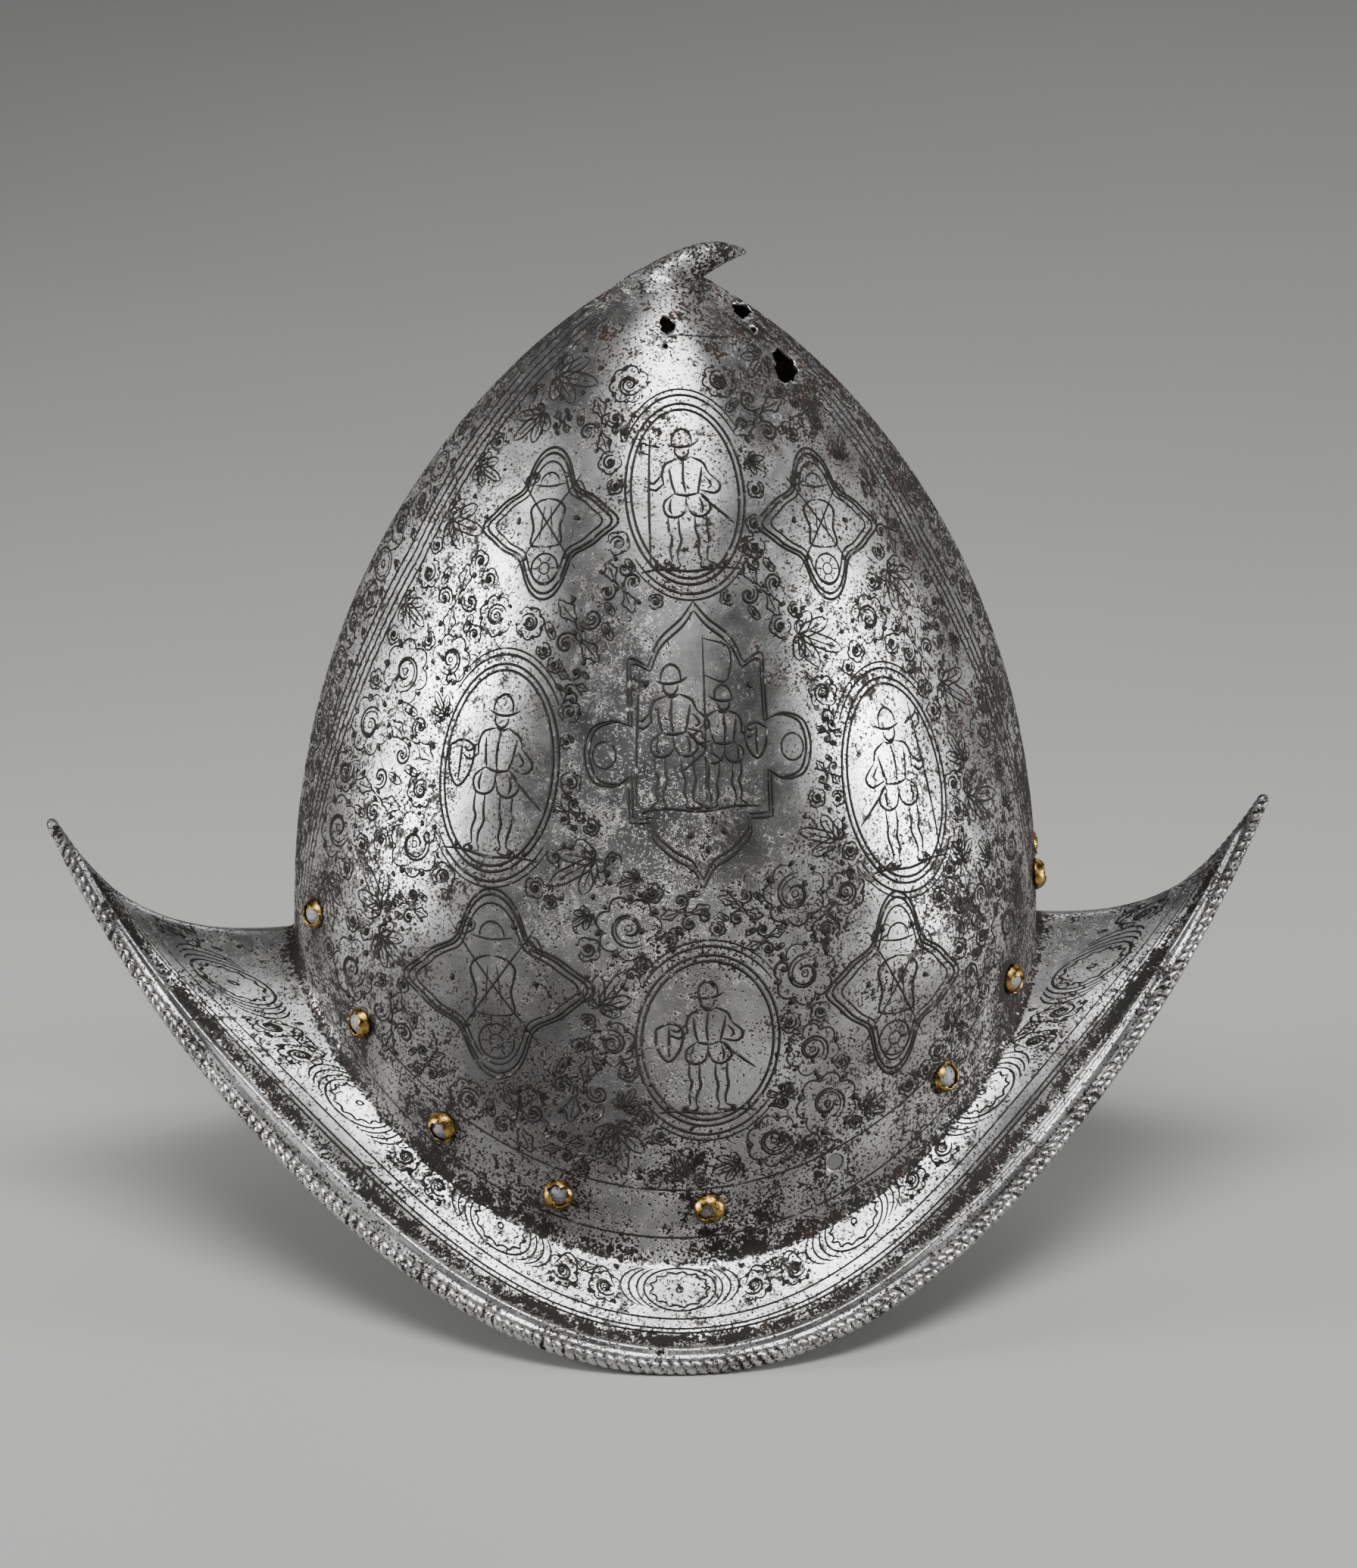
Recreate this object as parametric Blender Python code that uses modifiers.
"""Cabasset: an open helmet of one forged steel shell, with lining rivets capped in brass.

Metres, +Z up. X runs along the helmet with its front at -X, and Z = 0 is the table that it stands on.
The shell is one sheet: an almond-shaped skull with a ridge front and back, a curled stalk at its top and a
boat-shaped brim, whose edge is turned over. Angles round the skull start at the front and run to half a turn
at the back, the same on both sides: the wearer's left is -Y. A share runs from 0 to 1.
"""

import math

import bmesh
import bpy
import numpy as np
from mathutils import Matrix, Vector

WALL = 0.0012  # sheet thickness
GAP = 0.0003  # clearance between pieces that seat on each other
FACET_SAG = 0.0003  # how far the sheet's flat facets may lie inside its true curve

# Skull
SKULL_HALF_LENGTH = 0.1044
SKULL_HALF_WIDTH = 0.0880
SKULL_TOP = 0.2801  # height of its point
ROOT_FRONT = 0.0860  # height where brim and skull meet, front and back
ROOT_DIP = 0.0640  # how much lower they meet at the sides
DIP_POWER = 1.50  # roundness of that dip
LENGTH_POWERS = (2.22, 0.745)  # profile of the ridge: (1 - height^first)^second
WIDTH_POWERS = (2.30, 0.86)  # profile seen from the front
RIDGE_POWER = 1.80  # section towards the top: 1 is an ellipse, 2 a pointed lens
RIDGE_FROM = 0.55  # share of the height by which the ridge is at its sharpest

# Brim
FRONT_BRIM = 0.0671  # reach beyond the skull
REAR_BRIM = 0.0639
SIDE_BRIM = 0.0276
TIP_RISE = 0.0336  # how far the two points rise above the root
EDGE_RADIUS = 0.0024  # of the turned edge
TIP_RADIUS = 0.0017  # the same edge at the two points
LAND_DEPTH = 0.0004  # worn off below the edge, so that the helmet stands
PLAN_TAPER = 0.31  # straightens the plan of the brim towards its points
SWEEP_POWERS = (2.03, 9.0)  # curve of the edge seen from the side, and its upturn at the points
SWEEP_SHARE = 0.862
FAN_EVEN = 0.74  # how far along the brim the straight lines from the root reach
FAN_POWER = 6.0
HORN_POWER = 3.1  # curve of the brim along its middle line
FILLET = 0.0028
BEAD_INSET = 0.0050  # embossed bead inside the turned edge
BEAD_HALF_WIDTH = 0.0015
BEAD_HEIGHT = 0.0009

# Stalk
STALK_REACH = 0.0224  # how far back its tip lies from the skull's axis
STALK_RISE = 0.0061  # its height above the skull's own point
STALK_THICK = 0.0150  # at its root, along the helmet
STALK_WIDE = 0.0090  # at its root, across

# Lining rivets
RIVET_RISE = 0.0160  # above the root
RIVET_COLUMNS = ("angle in degrees", "share of the rise")
RIVETS = (
    (18.8, 1.72),
    (33.8, 1.15),
    (51.5, 0.82),
    (71.0, 0.79),
    (94.0, 0.91),
    (114.0, 1.01),
    (135.0, 0.96),
    (154.5, 0.91),
    (171.5, 1.30),
)
LOST_RIVET = "left_6"  # only its hole is left
SHANK = 0.0042  # diameter
HEAD = 0.0070
HEAD_HEIGHT = 0.0026
TAIL = 0.0060  # diameter of the hammered end inside
TAIL_HEIGHT = 0.0009
CAP_WALL = 0.0006
CAP_WORN = 0.0034  # width of the patch where a cap is worn through
CAP_TURN = 2.4  # radians by which each cap's worn patch is turned from the last
RIVET_SIDES = 8

# Holes rusted through the left of the skull, near its point
PIT_WIDTH = 0.0068  # of the widest
PIT_COLUMNS = ("angle in degrees", "share of the height", "share of the width")
PITS = (
    (89.0, 0.953, 0.59),
    (153.0, 0.943, 0.65),
    (144.2, 0.883, 1.00),
)
PIT_SIDES = 9
PIT_RAGGED = 0.16

HALF_COLUMNS = 34
SKULL_ROWS = (0.065, 0.14, 0.22, 0.31, 0.40, 0.49, 0.58, 0.67, 0.755, 0.835, 0.895, 0.94)
BRIM_ROWS = (0.30, 0.62)
STALK_COLUMNS = ("share of the reach", "share of the rise from the root", "thickness", "width", "lean in degrees")
STALK_ROWS = (
    (0.07, 0.00, 1.00, 1.00, 20.0),
    (0.19, 0.30, 0.76, 0.90, 36.0),
    (0.34, 0.52, 0.66, 0.80, 56.0),
    (0.50, 0.65, 0.57, 0.71, 68.0),
    (0.66, 0.73, 0.45, 0.60, 77.0),
    (0.82, 0.77, 0.29, 0.42, 86.0),
    (0.95, 0.76, 0.13, 0.20, 94.0),
)
STALK_SIDES = 10

FRONT_REACH = SKULL_HALF_LENGTH + FRONT_BRIM
REAR_REACH = SKULL_HALF_LENGTH + REAR_BRIM
HALF_WIDTH = SKULL_HALF_WIDTH + SIDE_BRIM
SKULL_X = (FRONT_REACH - REAR_REACH) / 2
EDGE_LOW = EDGE_RADIUS - LAND_DEPTH
TIP_HEIGHT = ROOT_FRONT + TIP_RISE


def root_height(angle):
    return ROOT_FRONT - ROOT_DIP * np.abs(np.sin(angle)) ** DIP_POWER


def section(height):
    """(half length, half width, sharpness) of the skull's level section at a height."""
    share = np.clip((height - ROOT_FRONT) / (SKULL_TOP - ROOT_FRONT), 0, 1)
    length = SKULL_HALF_LENGTH * (1 - share ** LENGTH_POWERS[0]) ** LENGTH_POWERS[1]
    width = SKULL_HALF_WIDTH * (1 - share ** WIDTH_POWERS[0]) ** WIDTH_POWERS[1]
    ramp = np.clip(share / RIDGE_FROM, 0, 1)
    return length, width, 1 + (RIDGE_POWER - 1) * ramp * ramp * (3 - 2 * ramp)


def skull_point(angle, share):
    """A point of the skull's outside: an angle from the front, and a share of the way from root to top."""
    height = root_height(angle) + (SKULL_TOP - root_height(angle)) * share
    length, width, sharpness = section(height)
    side = np.abs(np.sin(angle)) ** sharpness
    return np.stack([SKULL_X - length * np.cos(angle), width * side, height], -1)


def skull_row(share, count=HALF_COLUMNS):
    """One level of the skull's half, its points spaced evenly along the sheet."""
    fine = skull_point(np.linspace(0, math.pi, 721), share)
    run = np.concatenate([[0], np.cumsum(np.linalg.norm(np.diff(fine, axis=0), axis=1))])
    even = np.linspace(0, run[-1], count + 1)
    return np.stack([np.interp(even, run, fine[:, axis]) for axis in range(3)], -1)


def root_angles(count=HALF_COLUMNS):
    """The angles of the columns, spaced evenly along the root."""
    row = skull_row(0, count)
    return np.arctan2(row[:, 1] / SKULL_HALF_WIDTH, (SKULL_X - row[:, 0]) / SKULL_HALF_LENGTH)


def edge_point(along):
    """A point of the edge's middle line, from -1 at the front point to 1 at the rear one."""
    far = np.abs(along)
    reach = np.where(along < 0, FRONT_REACH, REAR_REACH)
    across = HALF_WIDTH * np.cos(math.pi / 2 * far) * (1 - PLAN_TAPER * far**3)
    sweep = SWEEP_SHARE * far ** SWEEP_POWERS[0] + (1 - SWEEP_SHARE) * far ** SWEEP_POWERS[1]
    return np.stack([SKULL_X + reach * along, across, EDGE_LOW + (TIP_HEIGHT - EDGE_LOW) * sweep], -1)


def edge_along(angle):
    """Where along the edge the straight line from the root at this angle ends."""
    turn = -np.cos(angle)
    return turn * (FAN_EVEN + (1 - FAN_EVEN) * np.abs(turn) ** FAN_POWER)


def brim_point(angle, share):
    """A point of the brim's top: an angle, and a share of the way from root to edge."""
    root = skull_point(angle, 0.0)
    edge = edge_point(edge_along(angle))
    curve = 1 + (HORN_POWER - 1) * np.cos(angle) ** 4
    point = root + (edge - root) * np.expand_dims(share, -1)
    point[..., 2] = root[..., 2] + (edge[..., 2] - root[..., 2]) * share**curve
    return point


def inset_share(angle, inset):
    """The share of the way to the edge at which the brim is this far inside the edge, measured square to it."""
    step = 1e-4
    along = np.clip(edge_along(angle), -1 + step, 1 - step)
    tangent = edge_point(along + step) - edge_point(along - step)
    line = edge_point(edge_along(angle)) - skull_point(angle, 0.0)
    length = np.linalg.norm(line, axis=-1)
    slant = np.linalg.norm(np.cross(line, tangent), axis=-1) / length / np.linalg.norm(tangent, axis=-1)
    return 1 - inset / (length * slant)


def sheet_rows():
    """The half sheet as rows of points from the edge up to the skull's last level."""
    angle = root_angles()
    start = inset_share(angle, BEAD_INSET + BEAD_HALF_WIDTH)
    rows = [brim_point(angle, np.ones_like(angle))]
    for offset in (-BEAD_HALF_WIDTH, 0.0, BEAD_HALF_WIDTH):
        rows.append(brim_point(angle, inset_share(angle, BEAD_INSET + offset)))
    rows += [brim_point(angle, start * share) for share in reversed(BRIM_ROWS)]
    run = np.linalg.norm(brim_point(angle, np.ones_like(angle)) - skull_point(angle, 0.0), axis=-1)
    rows.append(brim_point(angle, FILLET / run))
    above = skull_row(0.0) + np.array([0, 0, FILLET])
    rows.append((2 * skull_row(0.0) + rows[-1] + above) / 4)
    rows.append(above)
    rows += [skull_row(share) for share in SKULL_ROWS]
    rows = np.array(rows)
    across = np.gradient(rows[:8], axis=0)
    around = np.gradient(rows[:8], axis=1)
    normal = np.cross(around, across)[2]
    normal *= np.sign(normal[:, 2:])
    rows[2] += BEAD_HEIGHT * normal / np.linalg.norm(normal, axis=1)[:, None]
    rows[:, (0, -1), 1] = 0
    return rows


def collection(name, hidden=False):
    made = bpy.data.collections.new(name)
    made.hide_render = hidden
    bpy.context.scene.collection.children.link(made)
    return made


def material(name, colour, roughness):
    made = bpy.data.materials.new(name)
    made.use_nodes = True
    shader = made.node_tree.nodes["Principled BSDF"]
    shader.inputs["Base Color"].default_value = (*colour, 1)
    shader.inputs["Metallic"].default_value = 1
    shader.inputs["Roughness"].default_value = roughness
    return made


def add_object(name, mesh, group, finish=None):
    made = bpy.data.objects.new(name, mesh)
    group.objects.link(made)
    if finish:
        mesh.materials.append(finish)
        mesh.shade_smooth()
        mesh.set_sharp_from_angle(angle=math.radians(40))
    if group.hide_render:
        made.hide_render = True
        made.display_type = "WIRE"
    return made


def loft(name, rings, pole=None, closed=False, base=False):
    """A mesh through rings of points, each joined to the next, with a pole at its end and a flat base."""
    rings = np.asarray(rings)
    count = rings.shape[1]
    points = [tuple(point) for ring in rings for point in ring]
    spans = count if closed else count - 1
    faces = []
    for row in range(len(rings) - 1):
        for column in range(spans):
            right = (column + 1) % count
            low, high = row * count, (row + 1) * count
            faces.append((low + column, low + right, high + right, high + column))
    if pole is not None:
        points.append(tuple(pole))
        top = (len(rings) - 1) * count
        faces += [(top + column, top + (column + 1) % count, len(points) - 1) for column in range(spans)]
    if base:
        faces.append(tuple(reversed(range(count))))
    mesh = bpy.data.meshes.new(name)
    mesh.from_pydata(points, [], faces)
    shape = bmesh.new()
    shape.from_mesh(mesh)
    bmesh.ops.remove_doubles(shape, verts=shape.verts, dist=1e-7)
    bmesh.ops.recalc_face_normals(shape, faces=shape.faces)
    shape.to_mesh(mesh)
    shape.free()
    return mesh


def edge_roll(group):
    """The turned edge: a tube along the whole edge, thinner at the two points."""
    angle = root_angles()
    angle = np.delete(angle, (1, HALF_COLUMNS - 1))
    along = edge_along(angle)
    half = edge_point(along)
    radius = EDGE_RADIUS + (TIP_RADIUS - EDGE_RADIUS) * np.abs(along) ** 3
    path = np.concatenate([half, half[-2:0:-1] * (1, -1, 1)])
    radius = np.concatenate([radius, radius[-2:0:-1]])
    curve = bpy.data.curves.new("edge_roll", "CURVE")
    curve.dimensions = "3D"
    curve.bevel_depth = 1.0
    curve.bevel_resolution = 2
    spline = curve.splines.new("POLY")
    spline.points.add(len(path) - 1)
    spline.points.foreach_set("co", np.column_stack([path, np.ones(len(path))]).ravel())
    spline.points.foreach_set("radius", radius)
    spline.use_cyclic_u = True
    guide = bpy.data.objects.new("edge_roll_path", curve)
    group.objects.link(guide)
    graph = bpy.context.evaluated_depsgraph_get()
    mesh = bpy.data.meshes.new_from_object(guide.evaluated_get(graph))
    mesh.materials.clear()
    bpy.data.objects.remove(guide)
    return add_object("edge_roll", mesh, group)


def stalk(group):
    """The curled stalk: rings along its middle line, each thicker along the helmet than across."""
    base = SKULL_TOP - STALK_THICK * 0.38
    rise = SKULL_TOP + STALK_RISE - base
    turn = np.linspace(0, 2 * math.pi, STALK_SIDES, endpoint=False)
    rings = []
    for reach, height, thick, wide, lean in STALK_ROWS:
        middle = np.array([SKULL_X + STALK_REACH * reach, 0, base + rise * height])
        along = np.array([math.cos(math.radians(lean)), 0, -math.sin(math.radians(lean))])
        ring = middle + np.outer(np.cos(turn), along) * STALK_THICK * thick / 2
        ring[:, 1] += np.sin(turn) * STALK_WIDE * wide / 2
        rings.append(ring)
    tip = (SKULL_X + STALK_REACH, 0, base + rise * STALK_ROWS[-1][1] - STALK_THICK * 0.01)
    return add_object("stalk", loft("stalk", rings, tip, closed=True, base=True), group)


def seat(angle, share, side):
    """A place on the skull's outside with Z along the outward normal, on the left (-1) or the right (1)."""
    step = 1e-4
    angle = np.array(angle)
    around = skull_point(angle + step, share) - skull_point(angle - step, share)
    upward = skull_point(angle, share + step) - skull_point(angle, share - step)
    normal = np.cross(around, upward)
    normal *= np.sign(normal[1]) / np.linalg.norm(normal)
    flip = np.array([1, side, 1])
    turn = Vector(normal * flip).to_track_quat("Z", "Y").to_matrix().to_4x4()
    return Matrix.Translation(Vector(skull_point(angle, share) * flip)) @ turn


def rivet_seats():
    """The place of each rivet by its name, from the front to the back of each side."""
    seats = {}
    for side_name, side in (("left", -1), ("right", 1)):
        for number, (degrees, rise) in enumerate(RIVETS, start=1):
            angle = math.radians(degrees)
            share = RIVET_RISE * rise / (SKULL_TOP - float(root_height(angle)))
            seats[f"{side_name}_{number}"] = seat(angle, share, side)
    return seats


def cutter(name, outline, place, depth, group):
    """A prism through the wall: an outline of radii by turn, carried along the seat's Z."""
    turn = np.linspace(0, 2 * math.pi, len(outline), endpoint=False)
    ring = np.column_stack([outline * np.cos(turn), outline * np.sin(turn), np.zeros(len(outline))])
    rings = [ring - (0, 0, depth), ring + (0, 0, depth)]
    made = add_object(name, loft(name, rings, rings[1].mean(axis=0), closed=True, base=True), group)
    made.matrix_world = place
    return made


def boolean(target, other, operation):
    change = target.modifiers.new(f"{operation.lower()} {other.name}", "BOOLEAN")
    change.operation = operation
    change.solver = "EXACT"
    change.object = other


def turned(name, profile, group, finish):
    """A turned piece: its profile runs down its outer side, and Screw carries it round Z."""
    mesh = bpy.data.meshes.new(name)
    points = [(radius, 0, height) for radius, height in profile]
    mesh.from_pydata(points, [(i, i + 1) for i in range(len(points) - 1)], [])
    made = add_object(name, mesh, group)
    mesh.materials.append(finish)
    screw = made.modifiers.new("turn", "SCREW")
    screw.steps = screw.render_steps = RIVET_SIDES
    screw.use_merge_vertices = True
    screw.merge_threshold = 0.00001
    screw.use_smooth_shade = True
    return made


def rivet_profile():
    """Head, shank and hammered tail of a lining rivet, its seat on the sheet at height 0."""
    under = -WALL - GAP - FACET_SAG
    return (
        (0, HEAD_HEIGHT),
        (HEAD * 0.25, HEAD_HEIGHT * 0.90),
        (HEAD / 2, GAP + HEAD_HEIGHT * 0.12),
        (SHANK / 2, GAP),
        (SHANK / 2, under),
        (TAIL / 2, under),
        (TAIL / 2 * 0.86, under - TAIL_HEIGHT),
        (0, under - TAIL_HEIGHT),
    )


def cap_mesh(finish):
    """A thin brass cap over a rivet's head, open where it is worn through, to one side of its middle."""
    inner = HEAD / 2 + GAP
    outer = inner + CAP_WALL
    shoulder = GAP + HEAD_HEIGHT * 0.52
    crown = HEAD_HEIGHT + GAP
    worn = CAP_WORN / 2
    shift = np.array([CAP_WORN * 0.20, 0])
    levels = (
        (inner, GAP, 0),
        (outer, GAP, 0),
        (outer * 0.95, shoulder + CAP_WALL * 0.4, 0),
        (worn, crown + CAP_WALL, 1),
        (worn, crown, 1),
        (inner, shoulder, 0),
    )
    turn = np.linspace(0, 2 * math.pi, RIVET_SIDES, endpoint=False)
    rings = []
    for radius, height, moved in levels:
        flat = np.column_stack([np.cos(turn), np.sin(turn)]) * radius + shift * moved
        rings.append(np.column_stack([flat, np.full(RIVET_SIDES, height)]))
    mesh = loft("rivet_cap", [*rings, rings[0]], closed=True)
    mesh.materials.append(finish)
    mesh.shade_smooth()
    mesh.set_sharp_from_angle(angle=math.radians(50))
    return mesh


def build_shell(group, helpers, finish):
    rows = sheet_rows()
    top = (SKULL_X, 0, SKULL_TOP)
    shell = add_object("helmet_shell", loft("helmet_shell", rows, top), group, finish)
    mirror = shell.modifiers.new("other side", "MIRROR")
    mirror.use_axis = (False, True, False)
    mirror.use_clip = True
    mirror.merge_threshold = 0.00001
    wall = shell.modifiers.new("wall", "SOLIDIFY")
    wall.thickness = WALL
    wall.offset = -1
    wall.use_even_offset = True
    wall.use_quality_normals = True
    boolean(shell, edge_roll(helpers), "UNION")
    boolean(shell, stalk(helpers), "UNION")
    hole = np.full(RIVET_SIDES + 2, SHANK / 2 + GAP)
    for name, place in rivet_seats().items():
        boolean(shell, cutter(f"rivet_hole_{name}", hole, place, 4 * WALL, helpers), "DIFFERENCE")
    turn = np.linspace(0, 2 * math.pi, PIT_SIDES, endpoint=False)
    for index, (angle, share, width) in enumerate(PITS):
        ragged = PIT_WIDTH * width / 2 * (1 + PIT_RAGGED * np.sin(2 * turn + index) + PIT_RAGGED / 2 * np.cos(5 * turn))
        place = seat(math.radians(angle), share, -1)
        boolean(shell, cutter(f"pit_{index + 1}", ragged, place, 4 * WALL, helpers), "DIFFERENCE")
    slab = bpy.data.meshes.new("table")
    shape = bmesh.new()
    size = (2 * (FRONT_REACH + REAR_REACH), 4 * HALF_WIDTH, 4 * EDGE_RADIUS)
    bmesh.ops.create_cube(shape, size=1, matrix=Matrix.Diagonal((*size, 1)))
    bmesh.ops.translate(shape, verts=shape.verts, vec=(0, 0, -size[2] / 2))
    shape.to_mesh(slab)
    shape.free()
    boolean(shell, add_object("table", slab, helpers), "DIFFERENCE")
    return shell


def build_rivets(group, steel, brass):
    cap = cap_mesh(brass)
    places = rivet_seats()
    places.pop(LOST_RIVET)
    first = None
    for index, (name, place) in enumerate(places.items()):
        if first is None:
            first = rivet = turned(f"rivet_{name}", rivet_profile(), group, steel)
        else:
            rivet = first.copy()
            rivet.name = f"rivet_{name}"
            group.objects.link(rivet)
        rivet.matrix_world = place
        worn = bpy.data.objects.new(f"cap_{name}", cap)
        group.objects.link(worn)
        worn.matrix_world = place @ Matrix.Rotation(index * CAP_TURN, 4, "Z")


def main():
    for old in list(bpy.data.objects):
        bpy.data.objects.remove(old)
    helmet = collection("cabasset")
    helpers = collection("helpers", hidden=True)
    shell_steel = material("etched_steel", (0.42, 0.41, 0.40), 0.38)
    rivet_steel = material("rivet_iron", (0.50, 0.49, 0.48), 0.42)
    brass = material("cap_brass", (0.72, 0.50, 0.20), 0.35)
    build_shell(helmet, helpers, shell_steel)
    build_rivets(helmet, rivet_steel, brass)


if __name__ == "__main__":
    main()
